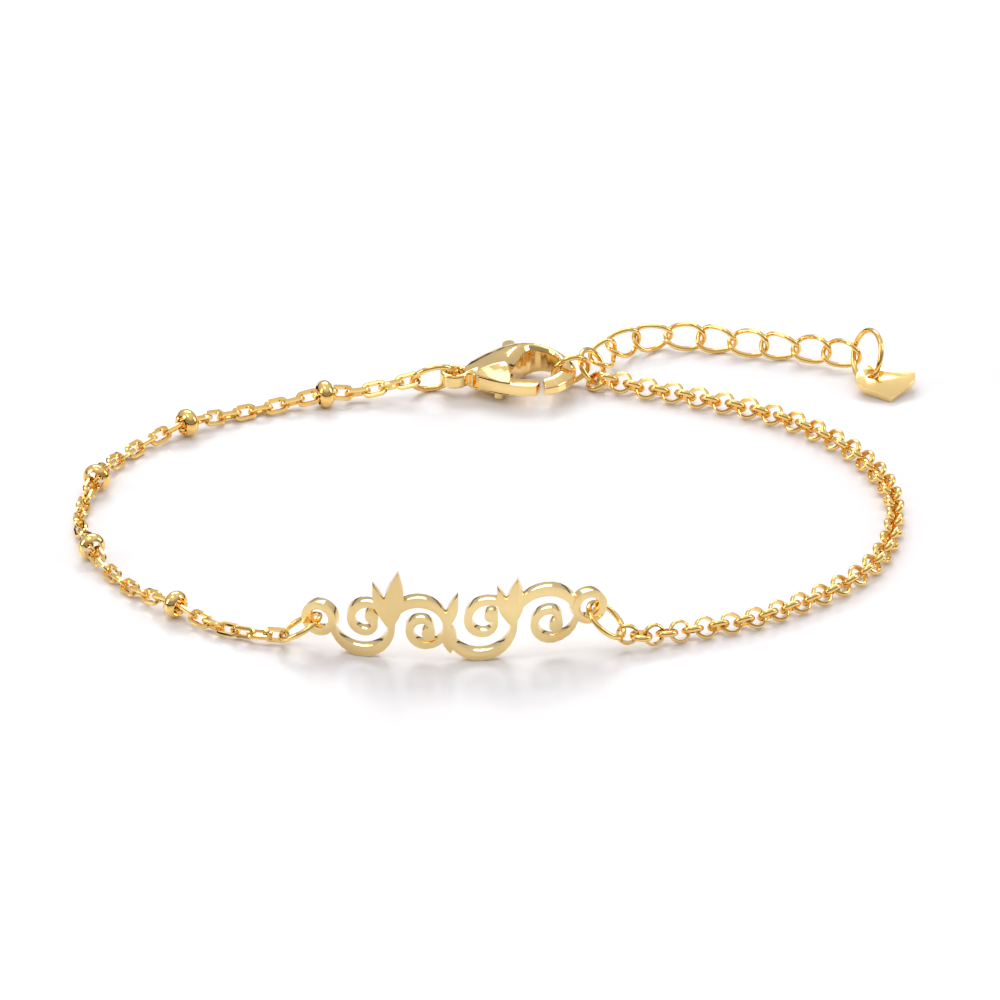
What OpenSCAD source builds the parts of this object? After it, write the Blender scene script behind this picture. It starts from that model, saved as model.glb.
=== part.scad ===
// Nameplate bracelet, fastened and lying on a flat surface, in millimetres.
// The front is an upright, curved openwork plate of scrolls. A cable chain with
// five ring beads and a rolo chain run from it to a lobster clasp, behind which
// lies a curb chain extender with a heart charm.
// The origin is on the surface inside the loop, +Z is up and the plate faces -Y.

/* [Plate] */
// Distance between the centres of the plate's two lug holes
plate_len = 20.6; // [19.6:0.1:21.6]
// Radius of the plate's curved front
plate_radius = 29; // [26:0.5:34]
// Thickness of the plate
plate_t = 0.8; // [0.6:0.05:0.95]
// Width of the scroll stem where it is fullest
stem_w = 0.86; // [0.7:0.02:1]
// Width of the scroll stem where it is finest
stem_fine_w = 0.5; // [0.4:0.02:0.6]
// Diameter of the pearl in each scroll
pearl_d = 1.05; // [0.9:0.05:1.2]
// Height of the tall leaf
tall_leaf_h = 7.3; // [6.6:0.1:7.8]
// Height of the other upright leaf
short_leaf_h = 6.7; // [6:0.1:7.2]
// Outside diameter of the lugs
lug_od = 2.85; // [2.7:0.05:3.1]
// Hole in the lugs
lug_hole = 1.6; // [1.5:0.05:1.8]

/* [Jump rings] */
// Outside diameter of the plate's and the clasp's rings
ring_od = 3.9; // [3.7:0.05:4.2]
// Wire of the plate's and the clasp's rings
ring_wire = 0.44; // [0.36:0.02:0.46]
// Outside diameter of the ring that the clasp hooks
hook_ring_od = 3.2; // [3.1:0.05:3.5]
// Outside diameter of the ring that joins the rolo chain and the extender
end_ring_od = 3.1; // [3:0.05:3.4]
// Outside diameter of the charm's ring
charm_ring_od = 4.25; // [4.2:0.05:4.4]
// Wire of the hooked, the end and the charm rings
small_wire = 0.42; // [0.36:0.02:0.44]

/* [Cable chain] */
// Outside length of a cable link
cable_len = 2.12; // [2.06:0.02:2.2]
// Outside width of a cable link
cable_w = 1.3; // [1.26:0.02:1.36]
// Wire of the cable links
cable_wire = 0.32; // [0.26:0.01:0.33]

/* [Ring beads] */
// Outside diameter of a ring bead
bead_od = 2.16; // [2.1:0.02:2.4]
// Bore of a ring bead
bead_bore = 1.52; // [1.5:0.02:1.6]
// Width of a ring bead along the chain
bead_w = 1.1; // [0.9:0.05:1.2]

/* [Rolo chain] */
// Outside diameter of a rolo link
rolo_od = 1.82; // [1.78:0.02:1.88]
// Hole of a rolo link
rolo_hole = 1.36; // [1.34:0.02:1.4]
// Width of a rolo link's band
rolo_band = 0.48; // [0.4:0.02:0.5]

/* [Clasp] */
// Length of the clasp from the centre of its eye to its nose
clasp_len = 9.35; // [9:0.05:9.8]
// Greatest height of the clasp's body
clasp_h = 3; // [2.8:0.05:3.2]
// Outside diameter of the clasp's eye
eye_od = 2.3; // [2.24:0.02:2.4]
// Hole of the clasp's eye
eye_hole = 1.36; // [1.32:0.02:1.4]
// Height of the clasp's eye
eye_h = 1.14; // [1:0.02:1.2]
// Thickness of the lever's plate
lever_t = 0.9; // [0.8:0.05:1]
// Diameter of the hinge pin
pin_d = 0.7; // [0.6:0.02:0.8]

/* [Extender] */
// Outside length of an extender link
curb_len = 3.45; // [3.4:0.05:3.55]
// Outside width of an extender link
curb_w = 2.3; // [2.2:0.05:2.4]
// Wire of the extender links
curb_wire = 0.38; // [0.3:0.02:0.4]

/* [Heart charm] */
// Width of the heart
heart_w = 4.6; // [4.2:0.1:5]
// Thickness of the heart
heart_t = 0.5; // [0.4:0.05:0.55]
// Hole in the heart's lobe
heart_hole = 1; // [0.95:0.05:1.2]

/* [Fits] */
// Gap left between links that pull on each other
link_gap = 0.14; // [0.12:0.01:0.15]
// Gap left between rolo links that pull on each other
rolo_gap = 0.19; // [0.18:0.01:0.19]
// Gap on each side of the lever in the clasp's slot
slot_gap = 0.06; // [0.04:0.01:0.1]
// Radial clearance between the pin and its bores
pin_gap = 0.03; // [0.025:0.005:0.05]
// Gap left between a plate ring's wire and the lug's hole
lug_gap = 0.4; // [0.36:0.01:0.44]

/* [Hidden] */
$fn = 48;

gold = "#e8c06a";
deep_gold = "#dcae52";
pale_gold = "#f0d088";

// Where the pieces lie on the surface, chosen from the object's own view.
plate_mid = [-2.6, -23.8];
lug_z = [2.7, 3.7];
left_ring_aim = [-16.0, -20.9, 0.71];
right_ring_aim = [10.5, -21.7, 1.25];
eye_place = [-2.55, 20.9, 1.52];
clasp_turn = 6.5;
clasp_ring_aim = [-5.8, 19.9, 1.75];
heart_tip = [30.99, 19.37, 0.27];

// The cable chain's middle line from the plate to the clasp.
cable_route = [
  [-18.4, -20.4, 0.7], [-20.4, -19.4, 0.62], [-22.3, -18.0, 0.75],
  [-24.2, -16.2, 1.1], [-26.1, -14.3, 0.75], [-27.5, -12.6, 0.56],
  [-28.6, -10.8, 0.56], [-29.7, -8.7, 0.7], [-30.6, -6.3, 1.1],
  [-31.2, -3.6, 0.7], [-31.4, -1.4, 0.56], [-31.2, 0.6, 0.56],
  [-30.8, 2.6, 0.7], [-30.0, 5.1, 1.1], [-29.1, 7.6, 0.75],
  [-28.0, 9.3, 0.56], [-26.8, 11.0, 0.56], [-25.2, 12.5, 0.75],
  [-23.1, 14.0, 1.1], [-20.9, 15.6, 0.7], [-19.0, 16.6, 0.56],
  [-17.0, 17.4, 0.56], [-14.9, 18.2, 0.75], [-12.2, 18.9, 1.1],
  [-10.2, 19.5, 0.85], [-7.9, 19.7, 1.25]
];
bead_stops = [23, 18, 13, 8, 3];

// The rolo chain's middle line from the plate to the end ring.
rolo_route = [
  [11.7, -21.66, 1.1], [12.9, -21.25, 1.02], [14.6, -20.55, 0.9], [17.1, -19.6, 0.82],
  [19.6, -18.6, 0.8], [21.8, -17.3, 0.8], [23.8, -15.8, 0.8],
  [25.7, -14.2, 0.8], [27.3, -12.5, 0.8], [28.6, -10.8, 0.8],
  [29.6, -9.0, 0.8], [30.3, -7.2, 0.8], [30.8, -5.3, 0.8],
  [31.1, -3.4, 0.8], [31.3, -1.5, 0.8], [31.3, 0.4, 0.8],
  [31.1, 2.2, 0.8], [30.7, 4.0, 0.8], [30.1, 5.8, 0.8],
  [29.3, 7.6, 0.8], [28.4, 9.3, 0.8], [27.2, 11.0, 0.8],
  [25.9, 12.5, 0.8], [24.4, 14.0, 0.8], [22.6, 15.4, 0.8],
  [20.5, 16.7, 0.8], [18.2, 17.8, 0.8], [15.7, 18.9, 0.8],
  [13.2, 19.9, 0.8], [11.4, 20.55, 0.82], [10.244, 21.059, 0.886]
];

// The places of the rings and links that are hooked together behind the clasp, as a centre
// and the way that the ring faces.
hook_ring_spot = [[6.37, 21.86, 1.59], [-0.296, 0.883, 0.363]];
end_ring_spot = [[8.0, 22.92, 1.36], [0.749, -0.354, 0.561]];
rolo_end_spots = [
  [[9.246, 21.421, 0.904], [0.206, 0.782, 0.588]],
  [[8.35, 21.79, 0.62], [-0.469, -0.322, 0.822]]
];
charm_ring_spot = [[29.17, 23.35, 2.1], [0.83, 0.443, -0.341]];

// The extender's middle line, and each link's mean turn about it.
extender_route = [
  [8.41, 23.73, 1.31], [9.01, 24.83, 1.34], [10.2, 26.6, 1.3], [12.3, 27.9, 1.2],
  [14.8, 28.3, 1.15], [17.2, 27.9, 1.15], [19.6, 27.3, 1.15], [22.2, 26.7, 1.15],
  [24.8, 26.0, 1.25], [27.2, 25.03, 1.38], [28.38, 24.62, 1.42]
];
curb_turns = [40, 33, 9, 33, 10, 32, 7, 30, 21];

// Vectors and lines in space.
function unit(v) = v / norm(v);
function side_of(d) = unit(cross([0, 0, 1], d));
function over_of(d) = cross(d, side_of(d));
function across_of(d, roll) = cos(roll) * over_of(d) + sin(roll) * side_of(d);
function spline_at(a, b, c, d, t) =
  0.5 * (2 * b + (c - a) * t + (2 * a - 5 * b + 4 * c - d) * t * t
  + (3 * b - a - 3 * c + d) * t * t * t);
spline_steps = 8;
function spline(p) = concat(
  [for (i = [0 : len(p) - 2], k = [0 : spline_steps - 1])
    spline_at(p[max(i - 1, 0)], p[i], p[i + 1], p[min(i + 2, len(p) - 1)], k / spline_steps)],
  [p[len(p) - 1]]
);
function run_of(c) = [
  for (i = 0, s = 0; i < len(c); s = s + norm(c[min(i + 1, len(c) - 1)] - c[i]), i = i + 1) s
];
function point_at(c, run, s) = [
  for (axis = [0 : 2]) lookup(s, [for (i = [0 : len(c) - 1]) [run[i], c[i][axis]]])
];

// Puts a piece drawn flat at a place in space: its length goes along, its width across.
module set_down(centre, along, across) {
  face = cross(along, across);
  multmatrix([
    [along[0], across[0], face[0], centre[0]],
    [along[1], across[1], face[1], centre[1]],
    [along[2], across[2], face[2], centre[2]],
    [0, 0, 0, 1]
  ]) children();
}
module place(centre, along, roll) {
  set_down(centre, along, across_of(along, roll)) children();
}
module lay(spot) {
  face = unit(spot[1]);
  set_down(spot[0], side_of(face), cross(face, side_of(face))) children();
}

// A round wire ring.
module wire_ring(od, wire) {
  rotate_extrude() translate([(od - wire) / 2, 0]) circle(d = wire);
}

// A ring from a seat towards an aim: the middle of its wire starts at the seat.
function ring_span(od, wire) = od - wire;
function ring_end_point(seat, aim, od, wire) = seat + unit(aim - seat) * ring_span(od, wire);

// Plate: the front is a cylinder about a vertical axis.
plate_axis = [plate_mid[0], plate_mid[1] + plate_radius];
lug_angle = asin(plate_len / 2 / (plate_radius - plate_t / 2));
function lug_centre(side) = [
  plate_axis[0] + side * plate_len / 2,
  plate_axis[1] - (plate_radius - plate_t / 2) * cos(lug_angle),
  lug_z[side > 0 ? 1 : 0]
];
function lug_seat(side) = lug_centre(side)
  + ((lug_hole - ring_wire) / 2 - lug_gap)
  * unit([side * cos(lug_angle), sin(lug_angle), -2.6]);

// The scroll: four half rounds in turn below and above a middle line.
bay_shares = [0.245, 0.223, 0.277, 0.255];
stem_reach = 0.31;
stem_run = plate_len / 2 - stem_reach * lug_od;
bay_r = [for (share = bay_shares) share * stem_run];
bay_starts = [0, bay_r[0] * 2, (bay_r[0] + bay_r[1]) * 2, (bay_r[0] + bay_r[1] + bay_r[2]) * 2];
bay_x = [for (k = [0 : 3]) bay_starts[k] + bay_r[k] - stem_run];
function bay_side(k) = k % 2 == 0 ? -1 : 1;
stem_slope = (bay_r[2] - bay_r[0]) / (bay_x[2] - bay_x[0]);
function stem_z(x) = bay_r[0] + stem_w / 2 + (x - bay_x[0]) * stem_slope;

// An arc as points about a centre, side +1 above the line and -1 below it.
function arc_points(c, r, side, from, to, n) = [
  for (i = [0 : n]) let (a = from + (to - from) * i / n) c + r * [-cos(a), side * sin(a)]
];
half_round_steps = 14;
function half_round(k) =
  arc_points([bay_x[k], 0], bay_r[k], bay_side(k), 0, 180, half_round_steps);
stem_line = concat(
  half_round(0),
  [for (k = [1 : 3], i = [1 : half_round_steps]) half_round(k)[i]]
);

// The volute in a bay: quarter rounds, each smaller than the last by the same ratio.
volute_ratio = 0.77;
volute_quarters = 4.6;
volute_steps = 5;
function volute_r(k, q) = bay_r[k] * pow(volute_ratio, q + 1);
function volute_centre(k, q) = q < 0
  ? [bay_x[k], 0]
  : volute_centre(k, q - 1)
    + (volute_r(k, q - 1) - volute_r(k, q)) * [-cos(180 + 90 * q), bay_side(k) * sin(180 + 90 * q)];
function volute_line(k) = [
  for (i = [-2 : volute_quarters * volute_steps])
    let (q = i < 0 ? -1 : floor(i / volute_steps), a = 180 + 90 * i / volute_steps)
    volute_centre(k, q) + volute_r(k, q) * [-cos(a), bay_side(k) * sin(a)]
];

// A stroke of changing width along a line of points.
function way_at(line, i) = unit(line[min(i + 1, len(line) - 1)] - line[max(i - 1, 0)]);
function left_of(line, i) = [-way_at(line, i)[1], way_at(line, i)[0]];
module stroke(line, half_widths) {
  last = len(line) - 1;
  polygon(concat(
    [for (i = [0 : last]) line[i] + half_widths[i] * left_of(line, i)],
    [for (i = [last : -1 : 0]) line[i] - half_widths[i] * left_of(line, i)]
  ));
}
function swell(i) = stem_fine_w + (stem_w - stem_fine_w) * pow(sin(180 * i / half_round_steps), 2);

// A pointed leaf from its root to its tip.
leaf_steps = 8;
module leaf(root, tip, width) {
  along = unit(tip - root);
  across = [-along[1], along[0]];
  bend = [for (i = [0 : leaf_steps]) sin(180 * i / leaf_steps)];
  spine = [for (i = [0 : leaf_steps]) root + (tip - root) * i / leaf_steps];
  polygon(concat(
    [for (i = [0 : leaf_steps]) spine[i] + across * bend[i] * width / 2],
    [for (i = [leaf_steps - 1 : -1 : 1]) spine[i] - across * bend[i] * width / 2]
  ));
}

// Turns the scroll's straight middle line up to its slope.
stem_tilt = atan(stem_slope);
function on_stem(p) = [
  p[0] * cos(stem_tilt) - p[1] * sin(stem_tilt),
  p[0] * sin(stem_tilt) + p[1] * cos(stem_tilt) + stem_z(0)
];
joints = [for (k = [0 : 2]) on_stem([bay_x[k] + bay_r[k], 0])];

module scroll_outline() {
  translate([0, stem_z(0)]) rotate(stem_tilt) {
    stroke(stem_line, [for (i = [0 : len(stem_line) - 1]) swell(i % half_round_steps) / 2]);
    for (k = [0 : 3]) {
      line = volute_line(k);
      last = len(line) - 1;
      stroke(line, [for (i = [0 : last]) stem_fine_w * (0.32 + 0.3 * sin(180 * i / last))]);
      translate(line[last]) circle(d = pearl_d);
    }
  }
  leaf(joints[0] - [0.2, 0.5], [joints[0][0] + 0.5, tall_leaf_h], 1.5);
  leaf(joints[0] - [0.3, 0.2], joints[0] + [-1.5, 3.4], 0.9);
  leaf(joints[1] + [0.1, 0.4], joints[1] + [0.3, -2.3], 1.2);
  leaf(joints[1] + [-0.1, -0.4], joints[1] + [0.9, 2.7], 0.8);
  leaf(joints[2] - [0.2, 0.5], [joints[2][0] + 0.3, short_leaf_h], 1.4);
  leaf(joints[2] - [0.3, 0.2], joints[2] + [-1.3, 3], 0.85);
}

module lug(side) {
  translate(lug_centre(side)) rotate([90, 0, side * lug_angle])
    cylinder(d = lug_od, h = plate_t, center = true);
}

module lug_bore(side) {
  translate(lug_centre(side)) rotate([90, 0, side * lug_angle])
    cylinder(d = lug_hole, h = 3 * plate_t, center = true);
}

module nameplate() {
  depth = plate_radius - sqrt(pow(plate_radius, 2) - pow(plate_len / 2 + lug_od, 2)) + 1;
  color(gold) difference() {
    union() {
      intersection() {
        translate([plate_mid[0], plate_mid[1] + depth, 0]) rotate([90, 0, 0])
          linear_extrude(depth + 1) scroll_outline();
        translate([plate_axis[0], plate_axis[1], -1]) difference() {
          cylinder(r = plate_radius, h = tall_leaf_h + 3, $fn = 180);
          translate([0, 0, -1]) cylinder(r = plate_radius - plate_t, h = tall_leaf_h + 5, $fn = 180);
        }
      }
      lug(-1);
      lug(1);
    }
    lug_bore(-1);
    lug_bore(1);
  }
}

// Plate rings: each hangs from its lug with its wire across the plate.
plate_ring_roll = 87;
module plate_ring(side, aim) {
  along = unit(aim - lug_seat(side));
  color(gold) place(lug_seat(side) + along * (ring_od - ring_wire) / 2, along, plate_ring_roll)
    wire_ring(ring_od, ring_wire);
}
module plate_ring_left() { plate_ring(-1, left_ring_aim); }
module plate_ring_right() { plate_ring(1, right_ring_aim); }

// Clasp ring: its right end stands in the clasp's eye.
clasp_ring_roll = 35;
clasp_ring_seat = eye_place + [0.05, 0, 0];
clasp_ring_way = unit(clasp_ring_aim - clasp_ring_seat);
module clasp_ring() {
  color(gold) place(clasp_ring_seat + clasp_ring_way * (ring_od - ring_wire) / 2,
    clasp_ring_way, clasp_ring_roll) wire_ring(ring_od, ring_wire);
}

// The places of a chain's links along a line, as [centre, way], pulled up to the given pitch.
function chain_places(line, start, stop, pitch_max) = let (
  run = run_of(line),
  length = run[len(run) - 1] - start - stop,
  count = ceil(length / pitch_max) + 1,
  pitch = length / (count - 1)
) [
  for (i = [0 : count - 1])
    let (s = start + i * pitch)
    [
      point_at(line, run, s),
      unit(point_at(line, run, s + pitch / 2) - point_at(line, run, s - pitch / 2)),
      s
    ]
];

// The turn of each link about the chain: a quarter turn a link, at 45 degrees to the
// surface, and eased at both ends to the turn that the neighbouring ring needs.
function half_turn(a) = a - 180 * round(a / 180);
function link_turn(i, count, first, last, ease) = 90 * i + lookup(i, [
  [0, 45 + half_turn(first - 45)],
  [ease, 45],
  [count - 1 - ease, 45],
  [count - 1, 45 + half_turn(last - 90 * (count - 1) - 45)]
]);

// Cable chain.
cable_pitch = cable_len - 2 * cable_wire - link_gap;
cable_line = spline(concat(
  [ring_end_point(lug_seat(-1), left_ring_aim, ring_od, ring_wire)],
  cable_route,
  [ring_end_point(clasp_ring_seat, clasp_ring_aim, ring_od, ring_wire)]
));
cable_start = cable_len / 2 - cable_wire - ring_wire / 2 - link_gap;
cable_links = chain_places(cable_line, cable_start, cable_start, cable_pitch);
cable_ease = 5;
module cable_link() {
  bend_r = (cable_w - cable_wire) / 2;
  straight = cable_len - cable_w;
  for (end = [-1, 1]) {
    translate([end * straight / 2, 0, 0]) rotate(end * 90 - 180)
      rotate_extrude(angle = 180) translate([bend_r, 0]) circle(d = cable_wire);
    translate([0, end * bend_r, 0]) rotate([0, 90, 0])
      cylinder(d = cable_wire, h = straight, center = true);
  }
}
module cable_chain() {
  count = len(cable_links);
  color(pale_gold) for (i = [0 : count - 1])
    place(cable_links[i][0], cable_links[i][1], link_turn(i, count, 0, 50, cable_ease)) cable_link();
}

// Ring beads: each sits round the link nearest to its stop.
module satellite_bead(k) {
  run = run_of(cable_line);
  stop_run = run[(bead_stops[k - 1] + 1) * spline_steps];
  step = cable_links[1][2] - cable_links[0][2];
  link = cable_links[round((stop_run - cable_start) / step)];
  wall = (bead_od - bead_bore) / 2;
  bulge_r = (pow(bead_w / 2, 2) + pow(wall, 2)) / (2 * wall);
  color(deep_gold) place(link[0], link[1], 0) rotate([0, 90, 0]) rotate_extrude() intersection() {
    translate([bead_od / 2 - bulge_r, 0]) circle(r = bulge_r, $fn = 96);
    translate([bead_bore / 2, -bead_w]) square([bead_w, 2 * bead_w]);
  }
}

// Rolo chain: round links, flat inside and rounded outside.
rolo_pitch = sqrt(pow(rolo_hole / 2, 2) - pow(rolo_band / 2, 2))
  + sqrt(pow(rolo_hole / 2 - rolo_gap, 2) - pow(rolo_band / 2, 2));
rolo_line = spline(concat([ring_end_point(lug_seat(1), right_ring_aim, ring_od, ring_wire)], rolo_route));
rolo_start = rolo_hole / 2 - ring_wire / 2 - link_gap;
rolo_links = chain_places(rolo_line, rolo_start, 0, rolo_pitch);
rolo_ease = 7;
module rolo_link() {
  rotate_extrude() intersection() {
    translate([(rolo_od - rolo_band) / 2, 0]) circle(d = rolo_band);
    translate([rolo_hole / 2, -rolo_band]) square([rolo_band, 2 * rolo_band]);
  }
}
module rolo_chain() {
  count = len(rolo_links);
  color(gold) for (i = [0 : count - 1])
    place(rolo_links[i][0], rolo_links[i][1], link_turn(i, count, 0, -45, rolo_ease)) rolo_link();
  color(gold) for (spot = rolo_end_spots) lay(spot) rolo_link();
}

// Clasp, drawn with its eye at the origin and its nose along +X.
module clasp_place() {
  translate(eye_place) rotate(clasp_turn) children();
}

// Sections of the body from the lever's end round to the tip: where the section starts at
// the opening and where it ends outside, its height, and how full its flank is. Lengths are
// shares of the clasp's length, heights are shares of the clasp's height.
in_x = 0;
in_y = 1;
out_x = 2;
out_y = 3;
high = 4;
full = 5;
body_shares = [
  [0.444, -0.176, 0.422, -0.294, 0.72, 1.2],
  [0.449, -0.144, 0.342, -0.251, 0.84, 1.1],
  [0.465, -0.107, 0.235, -0.176, 0.93, 1.4],
  [0.487, -0.064, 0.139, -0.107, 0.95, 2.2],
  [0.508, -0.021, 0.091, -0.048, 0.93, 1.7],
  [0.524, 0.016, 0.091, 0.048, 0.92, 1.5],
  [0.540, 0.053, 0.139, 0.123, 0.93, 1.6],
  [0.556, 0.091, 0.225, 0.214, 0.97, 1.7],
  [0.578, 0.128, 0.332, 0.294, 1.00, 1.8],
  [0.610, 0.171, 0.439, 0.348, 0.97, 1.8],
  [0.647, 0.203, 0.545, 0.371, 0.90, 1.8],
  [0.690, 0.219, 0.652, 0.369, 0.82, 1.8],
  [0.733, 0.214, 0.754, 0.337, 0.75, 1.8],
  [0.786, 0.182, 0.845, 0.278, 0.70, 1.8],
  [0.829, 0.139, 0.914, 0.203, 0.63, 1.8],
  [0.856, 0.091, 0.963, 0.123, 0.58, 1.8],
  [0.872, 0.032, 0.993, 0.043, 0.53, 1.8],
  [0.872, -0.032, 1.000, -0.037, 0.52, 1.8],
  [0.856, -0.091, 0.986, -0.120, 0.51, 1.8],
  [0.829, -0.144, 0.950, -0.200, 0.50, 1.8],
  [0.786, -0.187, 0.888, -0.275, 0.49, 1.8],
  [0.749, -0.218, 0.818, -0.332, 0.48, 1.8],
  [0.700, -0.244, 0.706, -0.366, 0.46, 1.8]
];
// Across a section, from the opening to the outside: a bevel rises to the crest, and the
// flank falls from it. The bevel is given as shares of the width and of the height.
bevel_shares = [[0, 0.62], [0.06, 0.78], [0.13, 0.92], [0.19, 0.99]];
flank_shares = [0.25, 0.36, 0.5, 0.64, 0.78, 0.91, 1];
flank_edge_share = 0.42;
crest_share = 0.22;
function flank_share(row, share) =
  1 - (1 - flank_edge_share) * pow((share - crest_share) / (1 - crest_share), row[full]);
function section_shares(row) = concat(bevel_shares, [for (s = flank_shares) [s, flank_share(row, s)]]);
function section_point(row, share, height) = [
  clasp_len * (row[in_x] + (row[out_x] - row[in_x]) * share),
  clasp_len * (row[in_y] + (row[out_y] - row[in_y]) * share),
  height * row[high] * clasp_h / 2
];
function section_ring(row) = let (profile = section_shares(row)) concat(
  [for (p = profile) section_point(row, p[0], p[1])],
  [for (i = [len(profile) - 1 : -1 : 0]) section_point(row, profile[i][0], -profile[i][1])]
);

// Two triangles a side between two rings of points, then a solid through rings of as many
// points each, closed at both ends.
function band_face(a, b, j, half, sides) = half == 0
  ? [a * sides + j, b * sides + j, b * sides + (j + 1) % sides]
  : [a * sides + j, b * sides + (j + 1) % sides, a * sides + (j + 1) % sides];
module loft(rings) {
  sides = len(rings[0]);
  last = len(rings) - 1;
  polyhedron(
    points = [for (ring = rings, p = ring) p],
    faces = concat(
      [[for (j = [sides - 1 : -1 : 0]) j]],
      [for (i = [0 : last - 1], j = [0 : sides - 1], half = [0, 1]) band_face(i + 1, i, j, half, sides)],
      [[for (j = [0 : sides - 1]) last * sides + j]]
    )
  );
}

// Lever: the pin's place, and the points of its outline and of the slot that it turns in.
pin_at = [0.342 * clasp_len, -0.171 * clasp_len];
lever_shares = [
  [0.182, -0.155], [0.257, -0.198], [0.342, -0.246], [0.428, -0.291], [0.513, -0.324],
  [0.599, -0.340], [0.636, -0.334], [0.668, -0.285], [0.679, -0.240], [0.662, -0.214],
  [0.480, -0.194], [0.428, -0.120], [0.455, 0.053], [0.510, 0.267], [0.548, 0.450],
  [0.540, 0.487], [0.515, 0.503], [0.482, 0.500], [0.456, 0.480], [0.444, 0.450],
  [0.406, 0.278], [0.342, 0.064], [0.257, -0.053], [0.187, -0.102]
];
slot_shares = [
  [0.139, -0.43], [0.670, -0.43], [0.670, -0.11], [0.465, -0.11], [0.476, 0.043],
  [0.522, 0.160], [0.568, 0.5], [0.17, 0.5], [0.182, 0.11], [0.166, -0.043], [0.139, -0.096]
];
pin_top = 0.21 * clasp_h;
pin_bottom = -0.37 * clasp_h;

module clasp_eye() {
  wall = (eye_od - eye_hole) / 2;
  rotate_extrude() translate([(eye_od - wall) / 2, 0]) {
    square([wall, eye_h - wall], center = true);
    for (end = [-1, 1]) translate([0, end * (eye_h - wall) / 2]) circle(d = wall);
  }
}

module clasp_body() {
  color(gold) clasp_place() difference() {
    union() {
      loft([for (row = body_shares) section_ring(row)]);
      clasp_eye();
    }
    translate([0, 0, -lever_t / 2 - slot_gap])
      linear_extrude(lever_t + 2 * slot_gap) polygon(slot_shares * clasp_len);
    translate([pin_at[0], pin_at[1], -clasp_h])
      cylinder(d = pin_d + 2 * pin_gap, h = clasp_h + pin_top + pin_gap);
  }
}

module clasp_lever() {
  color(deep_gold) clasp_place() difference() {
    translate([0, 0, -lever_t / 2]) linear_extrude(lever_t) polygon(lever_shares * clasp_len);
    translate([pin_at[0], pin_at[1], -lever_t]) cylinder(d = pin_d + 2 * pin_gap, h = 2 * lever_t);
  }
}

module clasp_pin() {
  color(pale_gold) clasp_place() translate([pin_at[0], pin_at[1], pin_bottom])
    cylinder(d = pin_d, h = pin_top - pin_bottom);
}

// Hook ring: its left end lies in the clasp's opening, round the nose.
module hook_ring() {
  color(gold) lay(hook_ring_spot) wire_ring(hook_ring_od, small_wire);
}

// End ring: joins the hook ring, the rolo chain's last link and the extender.
module end_ring() {
  color(gold) lay(end_ring_spot) wire_ring(end_ring_od, small_wire);
}

// Extender: twisted open links.
curb_pitch = curb_len - 2 * curb_wire - link_gap;
curb_end_run = 1.25;
curb_places = chain_places(spline(extender_route), curb_end_run, curb_end_run, curb_pitch);
curb_twist = 45;
curb_sides = 6;
curb_end_steps = 6;
// The middle line of a link, as [along, across]: two half rounds and two straights.
function curb_flat() = let (
  bend_r = (curb_w - curb_wire) / 2,
  straight = (curb_len - curb_w) / 2
) concat(
  [for (i = [0 : curb_end_steps]) let (a = -90 + 180 * i / curb_end_steps)
    [straight + bend_r * cos(a), bend_r * sin(a)]],
  [[0, bend_r]],
  [for (i = [0 : curb_end_steps]) let (a = 90 + 180 * i / curb_end_steps)
    [-straight + bend_r * cos(a), bend_r * sin(a)]],
  [[0, -bend_r]]
);
function curb_space(p) = let (turn = curb_twist * p[0] / ((curb_len - curb_wire) / 2))
  [p[0], p[1] * cos(turn), p[1] * sin(turn)];
module curb_link() {
  flat = curb_flat();
  line = [for (p = flat) curb_space(p)];
  count = len(line);
  rings = [
    for (i = [0 : count - 1])
      let (
        way = unit(line[(i + 1) % count] - line[(i + count - 1) % count]),
        out = unit(line[i] - (line[i] * way) * way),
        off = cross(way, out)
      )
      [for (j = [0 : curb_sides - 1]) let (a = 360 * j / curb_sides)
        line[i] + curb_wire / 2 * (cos(a) * out + sin(a) * off)]
  ];
  polyhedron(
    points = [for (ring = rings, p = ring) p],
    faces = [for (i = [0 : count - 1], j = [0 : curb_sides - 1], half = [0, 1])
      band_face(i, (i + 1) % count, j, half, curb_sides)]
  );
}
module extender_link(k) {
  spot = curb_places[k - 1];
  color(pale_gold) place(spot[0], spot[1], curb_turns[k - 1]) curb_link();
}

// Charm ring: it stands on edge in the extender's last link.
module charm_ring() {
  color(gold) lay(charm_ring_spot) wire_ring(charm_ring_od, small_wire);
}

// Heart: two round lobes and a point, drawn with its tip at the origin and its notch along +Y.
lobe_r = 0.3 * heart_w;
lobe_x = heart_w / 2 - lobe_r;
lobe_y = 0.52 * heart_w;
heart_steps = 14;
notch_angle = acos(lobe_x / lobe_r);
tip_angle = 180 - atan2(lobe_y, lobe_x) - acos(lobe_r / norm([lobe_x, lobe_y]));
function lobe_points(side) = [
  for (i = [0 : heart_steps])
    let (a = -tip_angle + (180 - notch_angle + tip_angle) * i / heart_steps)
    [side * (lobe_x + lobe_r * cos(a)), lobe_y + lobe_r * sin(a)]
];
module heart_outline() {
  left = lobe_points(-1);
  polygon(concat([[0, 0]], lobe_points(1), [for (i = [heart_steps - 1 : -1 : 0]) left[i]]));
}
heart_way = unit([-0.175, 0.942, 0.285]);
heart_roll = 92;
module heart_charm() {
  color(deep_gold) place(heart_tip, heart_way, heart_roll) rotate(-90) difference() {
    translate([0, 0, -heart_t / 2]) linear_extrude(heart_t) heart_outline();
    translate([-lobe_x - 0.1, lobe_y + 0.3 * lobe_r, -heart_t]) cylinder(d = heart_hole, h = 2 * heart_t);
  }
}

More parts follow.
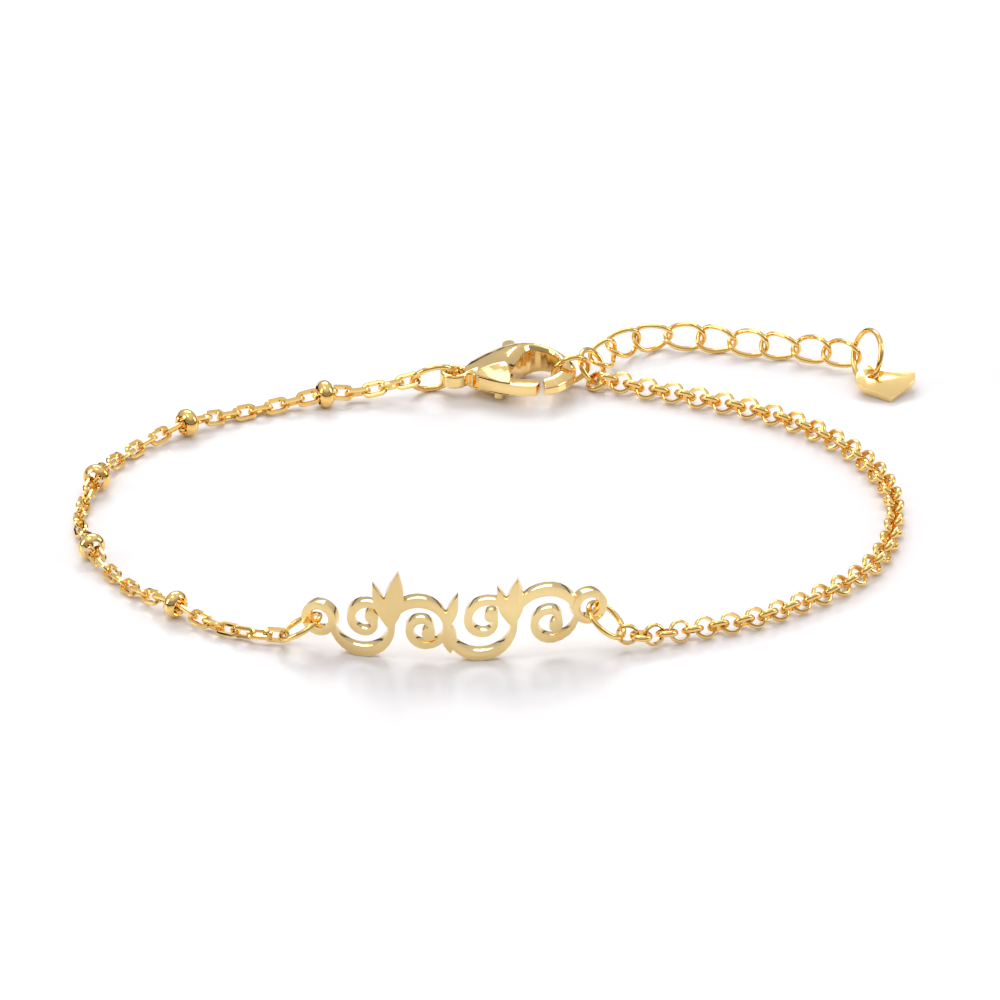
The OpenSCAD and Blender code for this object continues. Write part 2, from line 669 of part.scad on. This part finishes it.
nameplate();
plate_ring_left();
plate_ring_right();
cable_chain();
for (k = [1 : 5]) {
  satellite_bead(k);
}
clasp_ring();
clasp_body();
clasp_lever();
clasp_pin();
hook_ring();
rolo_chain();
end_ring();
for (k = [1 : 9]) {
  extender_link(k);
}
charm_ring();
heart_charm();
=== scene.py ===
from math import cos, pi, radians, sin

import bmesh
import bpy
import numpy as np
from mathutils import Matrix, Vector


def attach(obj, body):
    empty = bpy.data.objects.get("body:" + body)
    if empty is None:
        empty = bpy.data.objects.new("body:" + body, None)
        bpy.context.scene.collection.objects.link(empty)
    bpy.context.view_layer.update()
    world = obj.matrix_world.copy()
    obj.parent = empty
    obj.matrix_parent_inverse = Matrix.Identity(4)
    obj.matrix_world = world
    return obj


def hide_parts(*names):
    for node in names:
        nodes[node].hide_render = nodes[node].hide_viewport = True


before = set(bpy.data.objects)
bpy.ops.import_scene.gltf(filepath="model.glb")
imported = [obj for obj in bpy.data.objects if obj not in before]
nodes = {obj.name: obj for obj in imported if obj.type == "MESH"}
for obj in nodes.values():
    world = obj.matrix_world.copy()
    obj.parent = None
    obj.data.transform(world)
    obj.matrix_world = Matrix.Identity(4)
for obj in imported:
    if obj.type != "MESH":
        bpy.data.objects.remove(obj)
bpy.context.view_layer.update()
scene = bpy.context.scene
mm = 0.001


# Camera: straight on, looking down at the table. Lengths are in millimetres.
cameraSet = {
    "elevation": 27.4, "width": 76.9, "right": 0.92, "up": 1.46, "distance": 400,
    "near": 10, "far": 5000,
}


def makeCamera():
    tilt = radians(cameraSet["elevation"])
    up = Vector((0, sin(tilt), cos(tilt)))
    back = Vector((0, -cos(tilt), sin(tilt)))
    lens = bpy.data.cameras.new("camera")
    lens.type = "ORTHO"
    lens.ortho_scale = cameraSet["width"] * mm
    lens.clip_start = cameraSet["near"] * mm
    lens.clip_end = cameraSet["far"] * mm
    camera = bpy.data.objects.new("camera", lens)
    aim = Vector((1, 0, 0)) * cameraSet["right"] + up * cameraSet["up"]
    camera.location = (aim + back * cameraSet["distance"]) * mm
    camera.rotation_euler = (pi / 2 - tilt, 0, 0)
    scene.collection.objects.link(camera)
    scene.camera = camera


# Materials. A noise's values are read over the span that they fill. The sockets of a colour
# mix are told by number, because its other kinds share their names.
noiseSpan = (0.3, 0.7)
mixSocket = {"factor": 0, "first": 6, "second": 7, "result": 2}


def newMaterial(name):
    material = bpy.data.materials.new(name)
    material.use_nodes = True
    tree = material.node_tree
    tree.nodes.clear()
    shader = tree.nodes.new("ShaderNodeBsdfPrincipled")
    output = tree.nodes.new("ShaderNodeOutputMaterial")
    tree.links.new(shader.outputs["BSDF"], output.inputs["Surface"])
    return material, tree, shader


def noiseOn(tree, scale, detail=2.0, stretch=None):
    place = tree.nodes.new("ShaderNodeTexCoord")
    noise = tree.nodes.new("ShaderNodeTexNoise")
    noise.inputs["Scale"].default_value = scale
    noise.inputs["Detail"].default_value = detail
    source = place.outputs["Object"]
    if stretch:
        mapping = tree.nodes.new("ShaderNodeMapping")
        mapping.inputs["Scale"].default_value = stretch
        tree.links.new(source, mapping.inputs["Vector"])
        source = mapping.outputs["Vector"]
    tree.links.new(source, noise.inputs["Vector"])
    return noise.outputs["Fac"]


def ranged(tree, source, low, high):
    fit = tree.nodes.new("ShaderNodeMapRange")
    fit.inputs["From Min"].default_value, fit.inputs["From Max"].default_value = noiseSpan
    fit.inputs["To Min"].default_value = low
    fit.inputs["To Max"].default_value = high
    tree.links.new(source, fit.inputs["Value"])
    return fit.outputs["Result"]


# The golds: two tones, the range of the roughness and the depth of the grain in millimetres.
grainDetail = 3.0
goldFinishes = {
    # The plate's wide, slow tone wash is partly the gold's own uneven tone and partly painted
    # reflection: its paler and darker patches stand in for the reflection changing across the
    # plate's curved front.
    "plateGold": {
        "tones": [(0.83, 0.61, 0.27), (1.0, 0.775, 0.37)], "toneScale": 150,
        "rough": (0.08, 0.17), "roughScale": 1400, "stretch": (1, 1, 5), "bump": 0.0006,
    },
    "wireGold": {
        "tones": [(0.98, 0.63, 0.19), (1.0, 0.70, 0.26)], "toneScale": 260,
        "rough": (0.05, 0.11), "roughScale": 2200, "stretch": None, "bump": 0.0005,
    },
    "cutGold": {
        "tones": [(0.98, 0.63, 0.19), (1.0, 0.71, 0.27)], "toneScale": 320,
        "rough": (0.04, 0.1), "roughScale": 2600, "stretch": None, "bump": 0.0004,
    },
    "castGold": {
        "tones": [(0.97, 0.685, 0.27), (1.0, 0.74, 0.33)], "toneScale": 150,
        "rough": (0.07, 0.15), "roughScale": 1600, "stretch": None, "bump": 0.0007,
    },
}


def goldMaterial(name):
    finish = goldFinishes[name]
    material, tree, shader = newMaterial(name)
    shader.inputs["Metallic"].default_value = 1.0
    tone = tree.nodes.new("ShaderNodeMix")
    tone.data_type = "RGBA"
    tone.inputs[mixSocket["first"]].default_value = (*finish["tones"][0], 1)
    tone.inputs[mixSocket["second"]].default_value = (*finish["tones"][1], 1)
    # The tone wash: the gold's own uneven tone, and on the plate also painted reflection shading.
    toneAndReflectionNoise = noiseOn(tree, finish["toneScale"])
    tree.links.new(ranged(tree, toneAndReflectionNoise, 0, 1), tone.inputs[mixSocket["factor"]])
    tree.links.new(tone.outputs[mixSocket["result"]], shader.inputs["Base Color"])
    grain = noiseOn(tree, finish["roughScale"], grainDetail, finish["stretch"])
    tree.links.new(ranged(tree, grain, *finish["rough"]), shader.inputs["Roughness"])
    bump = tree.nodes.new("ShaderNodeBump")
    bump.inputs["Distance"].default_value = finish["bump"] * mm
    tree.links.new(grain, bump.inputs["Height"])
    tree.links.new(bump.outputs["Normal"], shader.inputs["Normal"])
    return material


# Making and placing meshes. Angles are in degrees.
meshSet = {"merge": 0.0015, "flat": 0.4, "bevelled": 40, "sharp": 35, "allSmooth": 180}


def newPiece(name, bm, material, body, replaced, sharpAngle=meshSet["sharp"]):
    mesh = bpy.data.meshes.new(name)
    bm.to_mesh(mesh)
    bm.free()
    mesh.shade_smooth()
    mesh.set_sharp_from_angle(angle=radians(sharpAngle))
    mesh.materials.append(material)
    piece = bpy.data.objects.new(name, mesh)
    scene.collection.objects.link(piece)
    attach(piece, body)
    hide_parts(*replaced)
    return piece


def mergedCopy(node):
    bm = bmesh.new()
    bm.from_mesh(nodes[node].data)
    bmesh.ops.remove_doubles(bm, verts=bm.verts, dist=meshSet["merge"] * mm)
    return bm


def dissolveFlat(bm):
    bmesh.ops.dissolve_limit(
        bm, angle_limit=radians(meshSet["flat"]), verts=bm.verts, edges=bm.edges)


def bevelSharp(bm, width, segments):
    least = radians(meshSet["bevelled"])
    edges = [e for e in bm.edges if len(e.link_faces) == 2 and e.calc_face_angle(0) > least]
    bmesh.ops.bevel(
        bm, geom=edges, offset=width * mm, segments=segments, profile=0.5,
        affect="EDGES", material=-1, clamp_overlap=True, offset_type="OFFSET",
    )


# A solid's own place: its middle and its axes, the longest first and the thinnest last.
def ownPlace(points):
    points = np.array(points)
    middle = points.mean(0)
    axes = np.linalg.svd(points - middle, full_matrices=False)[2]
    if np.dot(np.cross(axes[0], axes[1]), axes[2]) < 0:
        axes[2] = -axes[2]
    local = (points - middle) @ axes.T
    middle = middle + (local.min(0) + local.max(0)) / 2 @ axes
    size = local.max(0) - local.min(0)
    matrix = Matrix.Translation(middle) @ Matrix(axes.T.tolist()).to_4x4()
    return matrix, size


def solidPlaces(node):
    bm = mergedCopy(node)
    seen = set()
    places = []
    for start in bm.verts:
        if start in seen:
            continue
        seen.add(start)
        group = [start]
        for vert in group:
            for edge in vert.link_edges:
                other = edge.other_vert(vert)
                if other not in seen:
                    seen.add(other)
                    group.append(other)
        places.append(ownPlace([v.co[:] for v in group]))
    bm.free()
    return places


# A loop of wire about Z, in metres: round when straight is 0. A gap in degrees leaves two
# cut ends.
def addWireLoop(bm, radius, wire, sides, steps, straight=0.0, gap=0.0, turn=0.0, matrix=None):
    old = set(bm.verts)
    place = Matrix.Rotation(turn, 4, "Z") @ Matrix.Translation((radius, 0, 0))
    place = place @ Matrix.Rotation(pi / 2, 4, "X") @ Matrix.Rotation(pi / sides, 4, "Z")
    circle = bmesh.ops.create_circle(bm, segments=sides, radius=wire / 2, matrix=place)
    rim = circle["verts"] + [e for e in bm.edges if e.verts[0] not in old]
    bmesh.ops.spin(
        bm, geom=rim, cent=(0, 0, 0), axis=(0, 0, 1), steps=steps,
        angle=2 * pi - radians(gap), use_merge=gap == 0, use_duplicate=False,
    )
    made = [v for v in bm.verts if v not in old]
    if gap:
        cutEnds = [e for e in bm.edges if e.is_boundary and e.verts[0] not in old]
        bmesh.ops.holes_fill(bm, edges=cutEnds, sides=0)
    if straight:
        for side in (-1, 1):
            half = [v for v in made if v.co.x * side > 0]
            bmesh.ops.translate(bm, verts=half, vec=(side * straight / 2, 0, 0))
    faces = [f for f in bm.faces if f.verts[0] not in old]
    bmesh.ops.recalc_face_normals(bm, faces=faces)
    if matrix:
        bmesh.ops.transform(bm, matrix=matrix, verts=made)


# Floor, lights and surroundings
stageSet = {
    "size": 900, "drop": 0.01, "colour": (0.925, 0.925, 0.945, 1), "rough": (0.2, 0.26),
    "roughScale": 40,
}


def makeFloor():
    bm = bmesh.new()
    bmesh.ops.create_grid(bm, x_segments=1, y_segments=1, size=stageSet["size"] / 2 * mm)
    bmesh.ops.translate(bm, verts=bm.verts, vec=(0, 0, -stageSet["drop"] * mm))
    mesh = bpy.data.meshes.new("floor")
    bm.to_mesh(mesh)
    bm.free()
    material, tree, shader = newMaterial("whiteTable")
    shader.inputs["Base Color"].default_value = stageSet["colour"]
    roughNoise = noiseOn(tree, stageSet["roughScale"])
    tree.links.new(ranged(tree, roughNoise, *stageSet["rough"]), shader.inputs["Roughness"])
    mesh.materials.append(material)
    floor = bpy.data.objects.new("floor", mesh)
    scene.collection.objects.link(floor)


lightSet = {
    "keyBox": {"at": (-30, 240, 240), "size": (240, 120), "power": 0.45, "tone": (1, 0.985, 0.96)},
    "topBox": {"at": (-90, -40, 330), "size": (150, 120), "power": 0.1, "tone": (1, 1, 1)},
    "leftBox": {"at": (-330, -60, 150), "size": (110, 200), "power": 0.3, "tone": (1, 1, 1)},
    "rightBox": {"at": (330, 40, 170), "size": (100, 190), "power": 0.24, "tone": (1, 1, 1)},
}
# Levels of the surroundings by height, which is the sine of the elevation, behind the
# bracelet and on the camera's side. The turnover is where one side gives way to the other.
skySet = {
    "strength": 0.96,
    "tone": (0.995, 0.98, 1.01),
    "back": [
        (0.0, 0.85), (0.006, 0.02), (0.1, 0.02), (0.16, 0.6), (0.44, 0.66), (0.75, 0.8),
        (0.84, 0.97), (0.9, 0.97), (1.0, 0.75),
    ],
    "front": [
        (0.0, 0.85), (0.006, 0.03), (0.1, 0.03), (0.18, 0.35), (0.5, 0.32), (0.65, 0.5),
        (0.82, 0.85), (1.0, 0.75),
    ],
    "turnover": (-0.12, 0.12),
}


def makeLights():
    for name, light in lightSet.items():
        lamp = bpy.data.lights.new(name, "AREA")
        lamp.shape = "RECTANGLE"
        lamp.size, lamp.size_y = light["size"][0] * mm, light["size"][1] * mm
        lamp.energy = light["power"]
        lamp.color = light["tone"]
        thing = bpy.data.objects.new(name, lamp)
        thing.location = Vector(light["at"]) * mm
        thing.rotation_euler = (-thing.location).to_track_quat("-Z", "Y").to_euler()
        scene.collection.objects.link(thing)
    world = bpy.data.worlds.new("studio")
    scene.world = world
    world.use_nodes = True
    tree = world.node_tree
    tree.nodes.clear()
    way = tree.nodes.new("ShaderNodeTexCoord")
    split = tree.nodes.new("ShaderNodeSeparateXYZ")
    tree.links.new(way.outputs["Generated"], split.inputs["Vector"])
    behind = tree.nodes.new("ShaderNodeMapRange")
    behind.inputs["From Min"].default_value = skySet["turnover"][0]
    behind.inputs["From Max"].default_value = skySet["turnover"][1]
    tree.links.new(split.outputs["Y"], behind.inputs["Value"])
    both = tree.nodes.new("ShaderNodeMix")
    both.data_type = "RGBA"
    tree.links.new(behind.outputs["Result"], both.inputs[mixSocket["factor"]])
    for side, socket in (("front", "first"), ("back", "second")):
        ramp = tree.nodes.new("ShaderNodeValToRGB")
        while len(ramp.color_ramp.elements) < len(skySet[side]):
            ramp.color_ramp.elements.new(0.5)
        for element, (place, level) in zip(ramp.color_ramp.elements, skySet[side]):
            element.position = place
            element.color = (*(level * tone for tone in skySet["tone"]), 1)
        tree.links.new(split.outputs["Z"], ramp.inputs["Fac"])
        tree.links.new(ramp.outputs["Color"], both.inputs[mixSocket[socket]])
    glow = tree.nodes.new("ShaderNodeBackground")
    glow.inputs["Strength"].default_value = skySet["strength"]
    tree.links.new(both.outputs[mixSocket["result"]], glow.inputs["Color"])
    output = tree.nodes.new("ShaderNodeOutputWorld")
    tree.links.new(glow.outputs["Background"], output.inputs["Surface"])
    scene.view_settings.view_transform = "Standard"


# Plate: the CAD solid with polished, softened edges.
plateSet = {"edge": 0.06, "segments": 3}


def makePlate(materials):
    bm = mergedCopy("nameplate")
    dissolveFlat(bm)
    bevelSharp(bm, plateSet["edge"], plateSet["segments"])
    newPiece("scrollPlate", bm, materials["plateGold"], "bracelet", ["nameplate"])


# Jump rings: round wire with a fine cut where each was closed.
ringSet = {
    "sides": 20, "steps": 72, "gap": 1.6, "sharp": 50,
    "cuts": {
        "plate_ring_left": (0.3, 1, 0.4), "plate_ring_right": (-0.3, 1, 0.4),
        "clasp_ring": (-1, 0.4, 0.3), "hook_ring": (0.6, 0, 1), "end_ring": (-0.2, 0.4, 1),
        "charm_ring": (-0.5, -0.8, 0.9),
    },
}


def makeRings(materials):
    for node, cutWay in ringSet["cuts"].items():
        matrix, size = solidPlaces(node)[0]
        wire = size[2]
        radius = (size[0] - wire) / 2
        way = matrix.to_3x3().inverted() @ Vector(cutWay)
        turn = np.arctan2(way.y, way.x) + radians(ringSet["gap"] / 2)
        bm = bmesh.new()
        addWireLoop(bm, radius, wire, ringSet["sides"], ringSet["steps"],
                    gap=ringSet["gap"], turn=turn, matrix=matrix)
        newPiece(node + "_wire", bm, materials["wireGold"], "bracelet", [node],
                 ringSet["sharp"])


# Cable chain: links of eight-sided wire, for its cut flats, one for each solid of the node.
cableSet = {"sides": 8, "steps": 22, "fuller": 1.18, "sharp": 30}


def makeCable(materials):
    bm = bmesh.new()
    for matrix, size in solidPlaces("cable_chain"):
        wire = size[2] * cableSet["fuller"]
        radius = (size[1] - wire) / 2
        addWireLoop(bm, radius, wire, cableSet["sides"], cableSet["steps"],
                    straight=size[0] - size[1], turn=pi / cableSet["steps"], matrix=matrix)
    newPiece("cutCableChain", bm, materials["cutGold"], "bracelet", ["cable_chain"],
             cableSet["sharp"])


# Clasp: the CAD body, smoothed as a cast and polished piece, and the lever with soft edges.
claspSet = {
    "voxel": 0.05, "smooth": 10, "smoothShare": 0.5, "leverEdge": 0.09, "leverSegments": 3,
}


def makeClasp(materials):
    bm = mergedCopy("clasp_body")
    body = newPiece("castClasp", bm, materials["castGold"], "bracelet", ["clasp_body"],
                    meshSet["allSmooth"])
    remesh = body.modifiers.new("cast", "REMESH")
    remesh.mode = "VOXEL"
    remesh.voxel_size = claspSet["voxel"] * mm
    remesh.use_smooth_shade = True
    polish = body.modifiers.new("polish", "SMOOTH")
    polish.factor = claspSet["smoothShare"]
    polish.iterations = claspSet["smooth"]
    bm = mergedCopy("clasp_lever")
    dissolveFlat(bm)
    bevelSharp(bm, claspSet["leverEdge"], claspSet["leverSegments"])
    newPiece("leverPlate", bm, materials["castGold"], "lever", ["clasp_lever"])


# Extender: the twisted links, filled out by a share of the wire's radius and rounded.
extenderSet = {"links": 9, "wire": 0.38, "fillShare": 0.19, "levels": 2}


def makeExtender(materials):
    for k in range(1, extenderSet["links"] + 1):
        node = f"extender_link_{k}"
        bm = mergedCopy(node)
        bmesh.ops.join_triangles(
            bm, faces=bm.faces, angle_face_threshold=pi, angle_shape_threshold=pi)
        link = newPiece(f"twistedLink_{k}", bm, materials["wireGold"], "bracelet", [node],
                        meshSet["allSmooth"])
        fill = link.modifiers.new("fill", "DISPLACE")
        fill.mid_level = 0
        fill.strength = extenderSet["wire"] / 2 * extenderSet["fillShare"] * mm
        rounding = link.modifiers.new("round", "SUBSURF")
        rounding.levels = rounding.render_levels = extenderSet["levels"]


# Heart charm: a flat polished face with a rounded edge.
heartSet = {"edge": 0.11, "segments": 4}


def makeHeart(materials):
    bm = mergedCopy("heart_charm")
    dissolveFlat(bm)
    bevelSharp(bm, heartSet["edge"], heartSet["segments"])
    newPiece("polishedHeart", bm, materials["castGold"], "bracelet", ["heart_charm"])


# CAD nodes whose shape is right keep it and get their finish.
nodeFinishes = {
    "rolo_chain": "wireGold", "clasp_pin": "castGold",
    "satellite_bead_1": "cutGold", "satellite_bead_2": "cutGold", "satellite_bead_3": "cutGold",
    "satellite_bead_4": "cutGold", "satellite_bead_5": "cutGold",
}


def finishNodes(materials):
    for node, finish in nodeFinishes.items():
        slots = nodes[node].data.materials
        slots.clear()
        slots.append(materials[finish])


makeCamera()
makeFloor()
makeLights()
print("stage ready")
golds = {name: goldMaterial(name) for name in goldFinishes}
makePlate(golds)
print("plate made")
makeRings(golds)
makeCable(golds)
print("rings and cable chain made")
makeClasp(golds)
makeExtender(golds)
makeHeart(golds)
finishNodes(golds)
print("clasp, extender and charm made")
